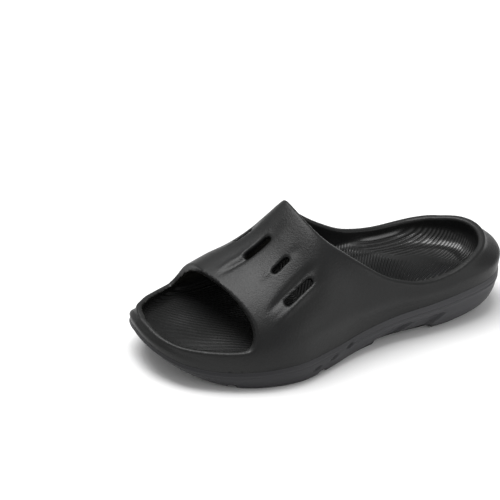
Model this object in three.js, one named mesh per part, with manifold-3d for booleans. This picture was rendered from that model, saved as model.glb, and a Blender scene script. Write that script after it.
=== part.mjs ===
import * as THREE from "three";
import { mergeVertices } from "three/addons/utils/BufferGeometryUtils.js";
import Module from "manifold-3d";

// Sport slide sandal for the left foot. Millimetres, +X to the toe, +Y to the outer side, +Z up.
// Lengths below are shares of these sizes.
const LENGTH = 300;
const BALL_WIDTH = 118;
const INSTEP_HEIGHT = 106;
const HEEL_HEIGHT = 62;

// Thickness of the strap and of the rims, and the width of the widest slot.
const STRAP = 5.6;
const WALL = 5.4;
const SLOT = 8.6;

// Play between the two layers, the ledge on which the upper's edge lies, and the step behind it.
const PLAY = 0.3;
const LEDGE = 6.5;
const STEP = 2;

// How far the sole's bead stands proud, and the depth of its side scoops and tread breaks.
const BEAD = 0.9;
const SCOOP = 3;
const BREAK = 3.1;

// Stations from heel to toe.
const STATIONS = 52;

// A smooth curve through the points (at[i], value[i]).
function curve(at, value) {
  const n = at.length;
  const step = at.slice(1).map((a, i) => a - at[i]);
  const rise = step.map((h, i) => (value[i + 1] - value[i]) / h);
  const slope = at.map((a, i) => {
    if (i === 0) return rise[0];
    if (i === n - 1) return rise[n - 2];
    return (step[i - 1] * rise[i] + step[i] * rise[i - 1]) / (step[i - 1] + step[i]);
  });
  return (x) => {
    if (x <= at[0]) return value[0];
    if (x >= at[n - 1]) return value[n - 1];
    let i = 0;
    while (x > at[i + 1]) i += 1;
    const h = step[i];
    const t = (x - at[i]) / h;
    const a = value[i] * (1 + 2 * t) * (1 - t) ** 2 + value[i + 1] * t * t * (3 - 2 * t);
    return a + h * (slope[i] * t * (1 - t) ** 2 - slope[i + 1] * t * t * (1 - t));
  };
}

const clamp = (v, low, high) => Math.min(high, Math.max(low, v));
const mix = (a, b, t) => a + (b - a) * t;
const ease = (t) => clamp(t, 0, 1) ** 2 * (3 - 2 * clamp(t, 0, 1));
const range = (n) => Array.from({ length: n }, (unused, i) => i);

// Angle round a half circle over the length, so that the two ends come out round.
const turn = (along) => Math.acos(1 - 2 * clamp(along, 0, 1));
const plain = (v) => v;

// One curve for each named column, over the values of the first.
function table(names, rows, measure = turn) {
  const at = rows.map((row) => measure(row[0]));
  const columns = names.split(" ").slice(1);
  const made = columns.map((name, c) => {
    const f = curve(at, rows.map((row) => row[c + 1]));
    return [name, (v) => f(measure(v))];
  });
  return Object.fromEntries(made);
}

// Widest outline. lateral and medial are its outer and inner side. flare is how far a wall leans
// in up to the rim, under is how far the seam lies inside, and tuck how far the tread edge does,
// with L for the outer and M for the inner side. All are shares of BALL_WIDTH, but wall, the
// thickness of the rim, is a share of WALL.
const PLAN = table("along lateral medial flareL flareM underL underM tuckL tuckM wall", [
  [0, 0.025, 0.025, 0.106, 0.106, 0.025, 0.025, 0.144, 0.169, 1.111],
  [0.02, 0.208, -0.157, 0.097, 0.106, 0.015, 0.034, 0.119, 0.178, 1.111],
  [0.06, 0.309, -0.267, 0.076, 0.102, 0.01, 0.034, 0.102, 0.161, 1.037],
  [0.107, 0.352, -0.326, 0.047, 0.072, 0.007, 0.022, 0.085, 0.127, 1],
  [0.173, 0.375, -0.356, 0.021, 0.038, 0.003, 0.01, 0.068, 0.076, 1],
  [0.267, 0.381, -0.356, 0.007, 0.014, 0, 0.003, 0.061, 0.055, 1],
  [0.383, 0.381, -0.326, 0, 0.002, 0, 0, 0.055, 0.042, 1],
  [0.483, 0.419, -0.331, 0, 0, 0, 0, 0.038, 0.042, 1],
  [0.573, 0.487, -0.386, 0, 0, 0, 0, 0.02, 0.034, 0.963],
  [0.66, 0.542, -0.449, 0, 0, 0, 0, 0.019, 0.025, 0.926],
  [0.74, 0.53, -0.479, 0, 0, 0, 0, 0.025, 0.03, 0.889],
  [0.817, 0.469, -0.466, 0, 0.003, 0, 0, 0.034, 0.042, 0.778],
  [0.873, 0.397, -0.428, 0, 0.008, 0, 0.001, 0.051, 0.055, 0.704],
  [0.91, 0.336, -0.394, 0.003, 0.019, 0, 0.003, 0.068, 0.072, 0.667],
  [0.942, 0.267, -0.356, 0.01, 0.032, 0.001, 0.005, 0.085, 0.089, 0.667],
  [0.968, 0.178, -0.309, 0.022, 0.044, 0.003, 0.008, 0.102, 0.106, 0.685],
  [0.988, 0.081, -0.258, 0.036, 0.051, 0.005, 0.011, 0.119, 0.123, 0.704],
  [1, -0.11, -0.11, 0.047, 0.047, 0.01, 0.01, 0.127, 0.127, 0.741],
]);

// Ridge of the instep: side is a share of BALL_WIDTH and high of INSTEP_HEIGHT. roundL and
// roundM say how square the two flanks are.
const CREST = table("along side high roundL roundM", [
  [0, 0, 1.132, 2.2, 2.2],
  [0.3, -0.034, 1.113, 2.2, 2.2],
  [0.433, -0.119, 1.057, 2.1, 2.2],
  [0.52, -0.169, 1.014, 1.85, 2.15],
  [0.573, -0.178, 0.976, 1.78, 2.1],
  [0.617, -0.169, 0.877, 1.78, 2.1],
  [0.653, -0.161, 0.791, 1.85, 2.1],
  [0.687, -0.153, 0.725, 1.92, 2.15],
  [0.72, -0.144, 0.674, 2, 2.25],
  [0.757, -0.136, 0.636, 2.05, 2.35],
  [0.8, -0.119, 0.594, 2.1, 2.4],
  [0.847, -0.102, 0.557, 2.4, 2.4],
  [1, -0.085, 0.528, 3, 2.6],
]);

// Height of the seam between the two layers on each side, in shares of HEEL_HEIGHT.
const SEAM = table("along outer inner", [
  [0, 0.565, 0.565],
  [0.083, 0.532, 0.573],
  [0.167, 0.492, 0.556],
  [0.26, 0.435, 0.54],
  [0.347, 0.395, 0.532],
  [0.433, 0.347, 0.508],
  [0.517, 0.303, 0.46],
  [0.6, 0.29, 0.387],
  [0.683, 0.282, 0.319],
  [0.767, 0.263, 0.281],
  [0.85, 0.256, 0.268],
  [0.91, 0.284, 0.294],
  [0.957, 0.335, 0.348],
  [0.987, 0.397, 0.406],
  [1, 0.445, 0.445],
]);

// Footbed: heights of its middle and its edge and the rise of its cup, in shares of HEEL_HEIGHT,
// and the reach of the cup in shares of BALL_WIDTH.
const BED = table("along middle edge rise reach", [
  [0, 0.565, 0.597, 0.226, 0.127],
  [0.133, 0.548, 0.589, 0.21, 0.119],
  [0.267, 0.54, 0.597, 0.177, 0.11],
  [0.4, 0.548, 0.613, 0.161, 0.093],
  [0.517, 0.5, 0.548, 0.145, 0.085],
  [0.633, 0.419, 0.444, 0.129, 0.076],
  [0.75, 0.371, 0.387, 0.113, 0.068],
  [0.883, 0.379, 0.395, 0.097, 0.059],
  [1, 0.419, 0.435, 0.081, 0.051],
]);

// Heights of the underside of the sole and of the deck on which the upper lies, in shares of
// HEEL_HEIGHT.
const TREAD = table("along lift deck", [
  [0, 0.21, 0.387],
  [0.023, 0.113, 0.355],
  [0.053, 0.035, 0.339],
  [0.093, 0, 0.323],
  [0.133, 0, 0.323],
  [0.3, 0, 0.323],
  [0.433, 0, 0.315],
  [0.533, 0, 0.282],
  [0.65, 0, 0.226],
  [0.773, 0, 0.203],
  [0.817, 0.005, 0.203],
  [0.86, 0.032, 0.206],
  [0.9, 0.084, 0.226],
  [0.94, 0.165, 0.266],
  [0.973, 0.261, 0.315],
  [1, 0.371, 0.371],
]);

const alongOf = (x) => x / LENGTH + 0.5;

// Columns run round the outline: up the outer side from heel to toe, back on the inner side.
// way leads from the outline to the hub of the foot, one unit for each unit square to the wall.
const COLUMNS = 2 * STATIONS;
const columns = range(COLUMNS).map((k) => {
  const outer = k <= STATIONS;
  const along = (1 - Math.cos((Math.PI * (outer ? k : COLUMNS - k)) / STATIONS)) / 2;
  const y = BALL_WIDTH * (outer ? PLAN.lateral(along) : PLAN.medial(along));
  return { k, outer, along, x: (along - 0.5) * LENGTH, y };
});
for (const c of columns) {
  const before = columns[(c.k + COLUMNS - 1) % COLUMNS];
  const after = columns[(c.k + 1) % COLUMNS];
  const run = Math.hypot(after.x - before.x, after.y - before.y);
  const inward = [(after.y - before.y) / run, (before.x - after.x) / run];
  const hub = clamp(c.along, 0.25, 0.8);
  const middle = (BALL_WIDTH * (PLAN.lateral(hub) + PLAN.medial(hub))) / 2;
  const to = [(hub - 0.5) * LENGTH - c.x, middle - c.y];
  const far = Math.hypot(to[0], to[1]) || 1;
  const square = (to[0] * inward[0] + to[1] * inward[1]) / far;
  c.way = [to[0] / far / square, to[1] / far / square];
  c.seam = HEEL_HEIGHT * (c.outer ? SEAM.outer(c.along) : SEAM.inner(c.along));
  c.flare = BALL_WIDTH * (c.outer ? PLAN.flareL(c.along) : PLAN.flareM(c.along));
  c.under = BALL_WIDTH * (c.outer ? PLAN.underL(c.along) : PLAN.underM(c.along));
  c.band = HEEL_HEIGHT * mix(0.42, 0.16, ease(c.along));
  c.tuck = BALL_WIDTH * (c.outer ? PLAN.tuckL(c.along) : PLAN.tuckM(c.along)) + c.under;
  c.wall = WALL * PLAN.wall(c.along);
  c.round = c.outer ? CREST.roundL(c.along) : CREST.roundM(c.along);
}

const inset = (c, d) => [c.x + c.way[0] * d, c.y + c.way[1] * d];

// Top of a column, on the ridge of the instep.
function ridge(c, drop) {
  const along = clamp(c.along, 0.3, 0.84);
  return [
    (along - 0.5) * LENGTH,
    BALL_WIDTH * CREST.side(along),
    INSTEP_HEIGHT * CREST.high(c.along) - drop,
  ];
}

// Outer skin: t runs from 0 at the seam to 1 on the ridge.
function skin(c, t) {
  const top = ridge(c, 0);
  const a = (Math.PI / 2) * t;
  const z = mix(c.seam, top[2], Math.sin(a) ** (2 / c.round));
  const wide = Math.cos(a) ** (2 / c.round);
  const rise = (z - c.seam) / c.band;
  const foot = inset(c, c.flare * ease((rise - 0.4) / 0.45) + c.under * (1 - ease(rise / 0.4)));
  return [mix(top[0], foot[0], wide), mix(top[1], foot[1], wide), z];
}

const edgeOf = (c) => HEEL_HEIGHT * BED.edge(c.along);

// Hollow for the foot: t runs from 0 at the top of the cup to 1 under the ridge.
function lining(c, t, reach, height) {
  const top = ridge(c, STRAP * 1.15);
  const start = edgeOf(c) + HEEL_HEIGHT * BED.rise(c.along);
  const share = clamp((start - c.seam) / (top[2] - c.seam), 0.02, 0.9);
  const first = Math.asin(share ** (c.round / 2));
  const a = mix(first, Math.PI / 2, t);
  const wide = Math.cos(a) ** (2 / c.round);
  const z = height ?? mix(c.seam, top[2], Math.sin(a) ** (2 / c.round));
  const foot = inset(c, c.flare + c.wall + reach);
  return [mix(top[0], foot[0], wide), mix(top[1], foot[1], wide), z];
}

// Cup of the footbed: b runs from 0 at its top to 1 where the bed begins.
function cup(c, b) {
  const rise = HEEL_HEIGHT * BED.rise(c.along);
  const reach = BALL_WIDTH * BED.reach(c.along);
  const a = (Math.PI / 2) * b;
  return lining(c, 0, reach * (1 - Math.cos(a)), edgeOf(c) + rise * (1 - Math.sin(a)));
}

// Point of the middle line at a column's place, held between two shares of the length.
function spine(c, low, high, height) {
  const along = clamp(c.along, low, high);
  const y = (BALL_WIDTH * (PLAN.lateral(along) + PLAN.medial(along))) / 2;
  return [(along - 0.5) * LENGTH, y, height(along)];
}

// Footbed inside the cup: s runs from 0 on the middle line to 1 at the cup.
function bed(c, s) {
  const edge = cup(c, 1);
  const middle = spine(c, 0.17, 0.86, (along) => HEEL_HEIGHT * BED.middle(along));
  return [
    mix(middle[0], edge[0], s),
    mix(middle[1], edge[1], s),
    mix(middle[2], edge[2], s * s),
  ];
}

// Closed solid through rings of as many points each. Its ends are capped when it has any.
function solid(rings, capped) {
  const n = rings[0].length;
  const faces = [];
  for (let r = 0; r + 1 < rings.length; r += 1) {
    for (let i = 0; i < n; i += 1) {
      const j = (i + 1) % n;
      faces.push([rings[r][i], rings[r][j], rings[r + 1][j]]);
      faces.push([rings[r][i], rings[r + 1][j], rings[r + 1][i]]);
    }
  }
  if (capped) {
    const last = rings[rings.length - 1];
    for (let i = 1; i + 1 < n; i += 1) {
      faces.push([rings[0][0], rings[0][i + 1], rings[0][i]]);
      faces.push([last[0], last[i], last[i + 1]]);
    }
  }
  const points = new THREE.BufferGeometry();
  const flat = new Float32Array(faces.flat(2));
  points.setAttribute("position", new THREE.BufferAttribute(flat, 3));
  const merged = mergeVertices(points, 1e-3);
  const index = merged.index.array;
  const position = merged.attributes.position.array;
  const kept = [];
  for (let i = 0; i < index.length; i += 3) {
    const [a, b, c] = [index[i], index[i + 1], index[i + 2]];
    if (a !== b && b !== c && c !== a) kept.push(a, b, c);
  }
  const at = (v) => new THREE.Vector3().fromArray(position, 3 * v);
  let volume = 0;
  for (let i = 0; i < kept.length; i += 3) {
    volume += at(kept[i]).dot(at(kept[i + 1]).cross(at(kept[i + 2])));
  }
  if (volume < 0) kept.reverse();
  return new wasm.Manifold(
    new wasm.Mesh({ numProp: 3, vertProperties: position, triVerts: new Uint32Array(kept) }),
  );
}

const wasm = await Module();
wasm.setup();

const ring = (place) => columns.map(place);

// Socket of the sole in which the upper lies: drop is how far below the deck.
const deck = (drop) => (along) => HEEL_HEIGHT * TREAD.deck(along) - drop;
const socket = (d, drop, c) => {
  const [x, y] = inset(c, d + c.under);
  return [x, y, HEEL_HEIGHT * TREAD.deck(alongOf(x)) - drop];
};

// Whole body of the upper before it is hollowed.
const SKIN_ROWS = 15;
const body = solid([
  ring((c) => spine(c, 0.2, 0.85, deck(0))),
  ring((c) => socket(LEDGE + STEP, 0, c)),
  ring((c) => [...inset(c, LEDGE + c.under), c.seam]),
  ...range(SKIN_ROWS + 1).map((r) => ring((c) => skin(c, (r / SKIN_ROWS) ** 1.3))),
]);

// Room for the foot.
const LINING_ROWS = 10;
const hollow = solid([
  ...[0, 0.35, 0.7].map((s) => ring((c) => bed(c, s))),
  ...[1, 0.8, 0.6, 0.4, 0.2].map((b) => ring((c) => cup(c, b))),
  ...range(LINING_ROWS + 1).map((r) => ring((c) => lining(c, r / LINING_ROWS, 0))),
]);

// Outline of the toe opening: side views of the cut, from the inner side to the outer side.
// side is a share of BALL_WIDTH, and X and Z are the place along and the height of each point,
// in shares of LENGTH and HEEL_HEIGHT.
const TOE_CUT = table(
  "side frontX frontZ tipX tipZ rimX rimZ footX footZ lipX lipZ browX browZ edgeX edgeZ skyX skyZ",
  [
    [-0.542, 1.087, 0.508, 0.967, 0.508, 0.87, 0.511, 0.847, 0.556,
      0.832, 0.661, 0.825, 0.79, 0.82, 1, 0.82, 2.258],
    [-0.381, 1.087, 0.548, 0.967, 0.535, 0.87, 0.511, 0.847, 0.556,
      0.83, 0.661, 0.822, 0.806, 0.817, 1, 0.82, 2.258],
    [-0.169, 1.087, 0.573, 0.977, 0.556, 0.873, 0.524, 0.833, 0.597,
      0.815, 0.742, 0.81, 0.903, 0.82, 1.016, 0.933, 2.258],
    [0, 1.087, 0.573, 0.977, 0.548, 0.86, 0.524, 0.813, 0.613,
      0.793, 0.774, 0.795, 0.919, 0.807, 1.032, 0.933, 2.258],
    [0.169, 1.087, 0.548, 0.96, 0.516, 0.847, 0.503, 0.8, 0.565,
      0.78, 0.71, 0.78, 0.855, 0.787, 0.952, 0.893, 2.258],
    [0.356, 1.087, 0.503, 0.873, 0.503, 0.813, 0.506, 0.79, 0.532,
      0.777, 0.613, 0.77, 0.742, 0.772, 0.887, 0.8, 2.258],
    [0.576, 1.087, 0.503, 0.873, 0.503, 0.813, 0.506, 0.79, 0.532,
      0.777, 0.613, 0.77, 0.742, 0.772, 0.887, 0.8, 2.258],
  ], plain);
const TOE_POINTS = ["front", "tip", "rim", "foot", "lip", "brow", "edge", "sky"];

// Rim of the heel and back edge of the strap, in side view: heights in shares of HEEL_HEIGHT.
const HEEL_CUT = table("along outer inner", [
  [-0.087, 1.008, 1.008],
  [0.047, 0.992, 0.992],
  [0.133, 0.879, 0.911],
  [0.217, 0.782, 0.844],
  [0.28, 0.758, 0.832],
  [0.35, 0.839, 0.887],
  [0.4, 0.952, 0.96],
  [0.453, 1.129, 1.097],
  [0.5, 1.29, 1.242],
  [0.537, 1.419, 1.387],
  [0.562, 1.548, 1.54],
  [0.582, 1.702, 1.702],
  [0.607, 1.903, 1.903],
  [0.66, 2.355, 2.355],
]);

// Slots of the strap: place along and to the side of the front end and of the back end, and the
// width as a share of SLOT.
const SLOTS = [
  [0.715, -0.064, 0.645, -0.072, 0.721],
  [0.704, -0.267, 0.658, -0.258, 0.581],
  [0.681, 0.154, 0.635, 0.132, 0.581],
  [0.683, 0.354, 0.602, 0.303, 1],
  [0.689, -0.398, 0.606, -0.378, 1],
];

function toeCut() {
  const reach = 0.58;
  const steps = range(29).map((i) => (i / 28) * (TOE_POINTS.length - 1));
  const order = range(TOE_POINTS.length);
  return solid(
    range(23).map((s) => {
      const side = mix(-reach, reach, s / 22);
      const along = curve(order, TOE_POINTS.map((name) => TOE_CUT[`${name}X`](side)));
      const high = curve(order, TOE_POINTS.map((name) => TOE_CUT[`${name}Z`](side)));
      const y = side * BALL_WIDTH;
      const line = steps.map((t) => [(along(t) - 0.5) * LENGTH, y, high(t) * HEEL_HEIGHT]);
      return [[LENGTH, y, 3 * HEEL_HEIGHT], ...line];
    }),
    true,
  );
}

function heelCut() {
  const sides = [-0.7, -0.2, -0.1, 0, 0.1, 0.2, 0.7];
  return solid(
    sides.map((side) => {
      const part = ease((side + 0.2) / 0.4);
      const y = side * BALL_WIDTH;
      const line = range(41).map((i) => {
        const along = mix(-0.08, 0.66, i / 40);
        const high = mix(HEEL_CUT.inner(along), HEEL_CUT.outer(along), part);
        return [(along - 0.5) * LENGTH, y, high * HEEL_HEIGHT];
      });
      return [[-LENGTH, y, 3 * HEEL_HEIGHT], ...line];
    }),
    true,
  );
}

// Height of the outer skin over a point of the strap.
function roof(x, y) {
  const along = alongOf(x);
  const outer = y > BALL_WIDTH * CREST.side(along);
  const top = ridge({ along }, 0);
  const foot = BALL_WIDTH * (outer ? PLAN.lateral(along) : PLAN.medial(along));
  const round = outer ? CREST.roundL(along) : CREST.roundM(along);
  const seam = HEEL_HEIGHT * (outer ? SEAM.outer(along) : SEAM.inner(along));
  const wide = clamp((y - top[1]) / (foot - top[1]), 0, 1);
  return mix(seam, top[2], (1 - wide ** round) ** (1 / round));
}

// Straight-sided slot with round ends, cut square to the strap.
const ROUND = 10;
function slot([front, frontSide, back, backSide, width]) {
  const ends = [
    [(front - 0.5) * LENGTH, frontSide * BALL_WIDTH],
    [(back - 0.5) * LENGTH, backSide * BALL_WIDTH],
  ].map(([x, y]) => new THREE.Vector3(x, y, roof(x, y)));
  const middle = ends[0].clone().add(ends[1]).multiplyScalar(0.5);
  middle.z = roof(middle.x, middle.y);
  const length = ends[0].clone().sub(ends[1]);
  const [half, thin] = [length.length() / 2, (width * SLOT) / 2];
  length.normalize();
  const across = new THREE.Vector3(0, 4, 0);
  across.z = roof(middle.x, middle.y + 2) - roof(middle.x, middle.y - 2);
  const out = length.clone().cross(across).normalize();
  const side = out.clone().cross(length);
  const outline = range(2 * ROUND).map((i) => {
    const end = i < ROUND ? 1 : -1;
    const a = Math.PI * ((i % ROUND) / (ROUND - 1) - 0.5);
    return [end * (half - thin + thin * Math.cos(a)), end * thin * Math.sin(a)];
  });
  return solid(
    [-2.6, 2.6].map((depth) => outline.map(([far, aside]) => middle.clone()
      .addScaledVector(length, far)
      .addScaledVector(side, aside)
      .addScaledVector(out, depth * STRAP)
      .toArray())),
    true,
  );
}

const cuts = [hollow, toeCut(), heelCut(), ...SLOTS.map(slot)];
const upper = cuts.reduce((whole, cut) => whole.subtract(cut), body);

// Side wall of the sole from its top edge to the tread edge: down is the share of the height,
// out stands proud of the seam in shares of BEAD, and tuck is the share of the tuck.
const SIDE_ROWS = [
  [0, 0, 0],
  [0.07, 1, 0],
  [0.19, 1, 0],
  [0.27, -0.556, 0.02],
  [0.37, 0.333, 0.04],
  [0.56, 0.444, 0.16],
  [0.76, 0.222, 0.42],
  [0.92, 0, 0.78],
  [1, -0.889, 1],
];
const SIDE = table("down out tuck", SIDE_ROWS, plain);

// How far inside the outline the side wall lies.
const sideIn = (under, tuck, down) => mix(under, tuck, SIDE.tuck(down)) - BEAD * SIDE.out(down);

const lift = (x) => Math.max(0, HEEL_HEIGHT * TREAD.lift(alongOf(x)));
const layer = solid([
  ring((c) => spine(c, 0.2, 0.85, deck(PLAY))),
  ring((c) => socket(LEDGE + STEP - PLAY, PLAY, c)),
  ring((c) => [...inset(c, LEDGE - PLAY + c.under), c.seam - PLAY]),
  ...SIDE_ROWS.map(([down]) => ring((c) => {
    const [x, y] = inset(c, sideIn(c.under, c.tuck, down));
    return [x, y, mix(c.seam - PLAY, lift(x), down)];
  })),
  ring((c) => {
    const [x, y] = inset(c, c.tuck + 0.2 * BALL_WIDTH);
    return [x, y, lift(x)];
  }),
  ring((c) => spine(c, 0.2, 0.85, (along) => lift((along - 0.5) * LENGTH))),
]);

// Breaks across the tread: side views of each cut. Its corners have the place along, and the
// height in shares of BREAK.
const BREAKS = [
  [[0.82, -2], [0.826, 1.2], [0.838, 1.2], [0.844, -2]],
  [[0.585, -2], [0.59, 0.6], [0.604, 0.6], [0.608, -2]],
  [[0.24, -2], [0.252, 1], [0.41, 1], [0.424, -2]],
  [[0.14, -2], [0.146, 0.7], [0.156, 0.7], [0.162, -2]],
];

// Hollows in the side wall: place along, height and rise in shares of HEEL_HEIGHT, length in
// shares of LENGTH, depth in shares of SCOOP, turn in degrees, and side.
const SCOOPS = [
  [0.233, 0.245, 0.1, 0.103, 1, 13, 1],
  [0.327, 0.213, 0.1, 0.103, 1, 15, 1],
  [0.4, 0.274, 0.1, 0.11, 1, 20, -1],
  [0.3, 0.323, 0.107, 0.11, 1, 12, -1],
  [0.513, 0.242, 0.025, 0.035, 0.467, 24, 1],
  [0.557, 0.197, 0.025, 0.035, 0.467, 24, 1],
  [0.603, 0.152, 0.025, 0.035, 0.467, 20, 1],
  [0.55, 0.287, 0.025, 0.035, 0.467, 20, -1],
  [0.59, 0.216, 0.025, 0.035, 0.467, 20, -1],
  [0.633, 0.161, 0.025, 0.035, 0.467, 16, -1],
  [0.707, 0.113, 0.025, 0.035, 0.467, 10, -1],
];

function scoop([along, height, length, rise, depth, turned, side]) {
  const [edgeAt, seamAt, underAt, tuckAt] = side > 0
    ? [PLAN.lateral, SEAM.outer, PLAN.underL, PLAN.tuckL]
    : [PLAN.medial, SEAM.inner, PLAN.underM, PLAN.tuckM];
  const x = (along - 0.5) * LENGTH;
  const z = height * HEEL_HEIGHT;
  const deep = depth * SCOOP;
  const seam = seamAt(along) * HEEL_HEIGHT;
  const under = underAt(along) * BALL_WIDTH;
  const tuck = tuckAt(along) * BALL_WIDTH + under;
  const down = (seam - z) / (seam - lift(x));
  const edge = (a) => edgeAt(a) * BALL_WIDTH;
  const y = edge(along) - side * (sideIn(under, tuck, down) - 0.35 * deep);
  const heading = Math.atan2(edge(along + 0.02) - edge(along - 0.02), 0.04 * LENGTH);
  const lens = new THREE.Matrix4()
    .makeTranslation(x, y, z)
    .multiply(new THREE.Matrix4().makeRotationZ(heading))
    .multiply(new THREE.Matrix4().makeRotationY((turned * Math.PI) / 180));
  const rings = range(9).map((r) => {
    const a = (Math.PI * (r + 0.02)) / 8.04;
    return range(10).map((i) => {
      const b = (2 * Math.PI * i) / 10;
      return new THREE.Vector3(
        -0.5 * length * LENGTH * Math.cos(a),
        deep * Math.sin(a) * Math.cos(b),
        0.5 * rise * HEEL_HEIGHT * Math.sin(a) * Math.sin(b),
      ).applyMatrix4(lens).toArray();
    });
  });
  return solid(rings, true);
}

const bar = (corners) => solid(
  [-1, 1].map((side) => corners.map(([along, high]) => [
    (along - 0.5) * LENGTH, side * BALL_WIDTH, high * BREAK,
  ])),
  true,
);

const grooves = [...BREAKS.map(bar), ...SCOOPS.map(scoop)];
const sole = grooves.reduce((whole, cut) => whole.subtract(cut), layer);

function mesh(name, made, color, roughness) {
  const { vertProperties, triVerts } = made.getMesh();
  const geometry = new THREE.BufferGeometry();
  geometry.setAttribute("position", new THREE.BufferAttribute(vertProperties, 3));
  geometry.setIndex(new THREE.BufferAttribute(triVerts, 1));
  const material = new THREE.MeshStandardMaterial({ color, roughness, metalness: 0 });
  const out = new THREE.Mesh(geometry, material);
  out.name = name;
  return out;
}

const group = new THREE.Group();
group.add(mesh("upper", upper, 0x2d3031, 0.55));
group.add(mesh("sole", sole, 0x3c3c41, 0.6));

export default group;
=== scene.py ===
import math

import bmesh
import bpy
import numpy as np
from mathutils import Matrix, Vector
from mathutils.bvhtree import BVHTree

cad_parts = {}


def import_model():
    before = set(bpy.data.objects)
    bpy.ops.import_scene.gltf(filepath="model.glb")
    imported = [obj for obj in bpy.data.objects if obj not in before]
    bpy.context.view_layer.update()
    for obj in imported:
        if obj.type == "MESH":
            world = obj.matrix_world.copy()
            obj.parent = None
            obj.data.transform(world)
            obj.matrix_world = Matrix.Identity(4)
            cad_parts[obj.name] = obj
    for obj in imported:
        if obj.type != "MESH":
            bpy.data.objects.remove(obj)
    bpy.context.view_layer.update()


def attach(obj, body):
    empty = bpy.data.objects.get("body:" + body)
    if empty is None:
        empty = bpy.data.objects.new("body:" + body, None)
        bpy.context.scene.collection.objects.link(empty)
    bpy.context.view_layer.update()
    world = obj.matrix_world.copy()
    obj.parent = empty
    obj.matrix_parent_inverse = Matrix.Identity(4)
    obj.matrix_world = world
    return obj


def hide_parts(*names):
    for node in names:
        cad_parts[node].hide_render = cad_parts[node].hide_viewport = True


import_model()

# Sizes of the shoe in metres. +X is the toe, +Y the outer side, +Z up.
LENGTH = 0.300
BALL_WIDTH = 0.118
INSTEP_HEIGHT = 0.106
HEEL_HEIGHT = 0.062
STRAP = 0.0056
WALL = 0.0054
SLOT = 0.0086
PLAY = 0.0003
LEDGE = 0.0065
STEP = 0.002
BEAD = 0.0009
SCOOP = 0.003
BREAK = 0.0031

# Fineness: the upper's finished mesh, and the columns of the upper's forms and of the sole.
VOXEL = 0.00145
UPPER_COLUMNS = 320
SOLE_COLUMNS = 560

# Rings of the upper's skin, bed, cup and lining, and of the sole's wall
SKIN_RINGS = 60
BED_RINGS = 24
CUP_RINGS = 16
LINING_RINGS = 40
WALL_RINGS = 64


# Curves and tables


def mix(a, b, t):
    return a + (b - a) * t


def ease(t):
    t = np.clip(t, 0, 1)
    return t * t * (3 - 2 * t)


def over(value, start, run):
    """Soft step from 0 to 1, from a start over a run."""
    return ease((value - start) / run)


def bell(t):
    return np.exp(-t * t)


def curve(at, value):
    """Smooth curve through the points (at, value), level past its ends."""
    at = np.array(at, float)
    value = np.array(value, float)
    step = np.diff(at)
    rise = np.diff(value) / step
    inner = (step[:-1] * rise[1:] + step[1:] * rise[:-1]) / (step[:-1] + step[1:])
    slope = np.concatenate([rise[:1], inner, rise[-1:]])

    def read(x):
        x = np.clip(x, at[0], at[-1])
        i = np.clip(np.searchsorted(at, x, side="right") - 1, 0, len(step) - 1)
        h = step[i]
        t = (x - at[i]) / h
        level = value[i] * (1 + 2 * t) * (1 - t) ** 2 + value[i + 1] * t * t * (3 - 2 * t)
        return level + h * (slope[i] * t * (1 - t) ** 2 - slope[i + 1] * t * t * (1 - t))

    return read


def turn(along):
    """Angle round a half circle over the length, so that the two ends come out round."""
    return np.arccos(1 - 2 * np.clip(along, 0, 1))


def plain(value):
    return np.asarray(value, float)


def table(names, *rows, measure=turn):
    """One curve for each named column, over the values of the first."""
    first, *rest = zip(*rows)
    at = measure(np.array(first))

    def column(values):
        read = curve(at, values)
        return lambda v: read(measure(v))

    return dict(zip(names.split()[1:], map(column, rest)))


def along_of(x):
    return x / LENGTH + 0.5


def place_of(along):
    return (along - 0.5) * LENGTH


# The tables hold shares: places along of LENGTH, sideways of BALL_WIDTH, heights of HEEL_HEIGHT.

# Outline on the outer and inner side, flare over the seam, undercut, tuck of the sole, wall
PLAN = table(
    "along lateral medial flareL flareM underL underM tuckL tuckM wall",
    (0, 0.025, 0.025, 0.106, 0.106, 0.025, 0.025, 0.144, 0.169, 1.111),
    (0.02, 0.208, -0.157, 0.097, 0.106, 0.015, 0.034, 0.119, 0.178, 1.111),
    (0.06, 0.309, -0.267, 0.076, 0.102, 0.01, 0.034, 0.102, 0.161, 1.037),
    (0.107, 0.352, -0.326, 0.047, 0.072, 0.007, 0.022, 0.085, 0.127, 1),
    (0.173, 0.375, -0.356, 0.021, 0.038, 0.003, 0.01, 0.068, 0.076, 1),
    (0.267, 0.381, -0.356, 0.007, 0.014, 0, 0.003, 0.061, 0.055, 1),
    (0.383, 0.381, -0.326, 0, 0.002, 0, 0, 0.055, 0.042, 1),
    (0.483, 0.419, -0.331, 0, 0, 0, 0, 0.038, 0.042, 1),
    (0.573, 0.487, -0.386, 0, 0, 0, 0, 0.02, 0.034, 0.963),
    (0.66, 0.542, -0.449, 0, 0, 0, 0, 0.019, 0.025, 0.926),
    (0.74, 0.53, -0.479, 0, 0, 0, 0, 0.025, 0.03, 0.889),
    (0.817, 0.469, -0.466, 0, 0.003, 0, 0, 0.034, 0.042, 0.778),
    (0.873, 0.397, -0.428, 0, 0.008, 0, 0.001, 0.051, 0.055, 0.704),
    (0.91, 0.336, -0.394, 0.003, 0.019, 0, 0.003, 0.068, 0.072, 0.667),
    (0.942, 0.267, -0.356, 0.01, 0.032, 0.001, 0.005, 0.085, 0.089, 0.667),
    (0.968, 0.178, -0.309, 0.022, 0.044, 0.003, 0.008, 0.102, 0.106, 0.685),
    (0.988, 0.081, -0.258, 0.036, 0.051, 0.005, 0.011, 0.119, 0.123, 0.704),
    (1, -0.11, -0.11, 0.047, 0.047, 0.01, 0.01, 0.127, 0.127, 0.741),
)

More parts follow.
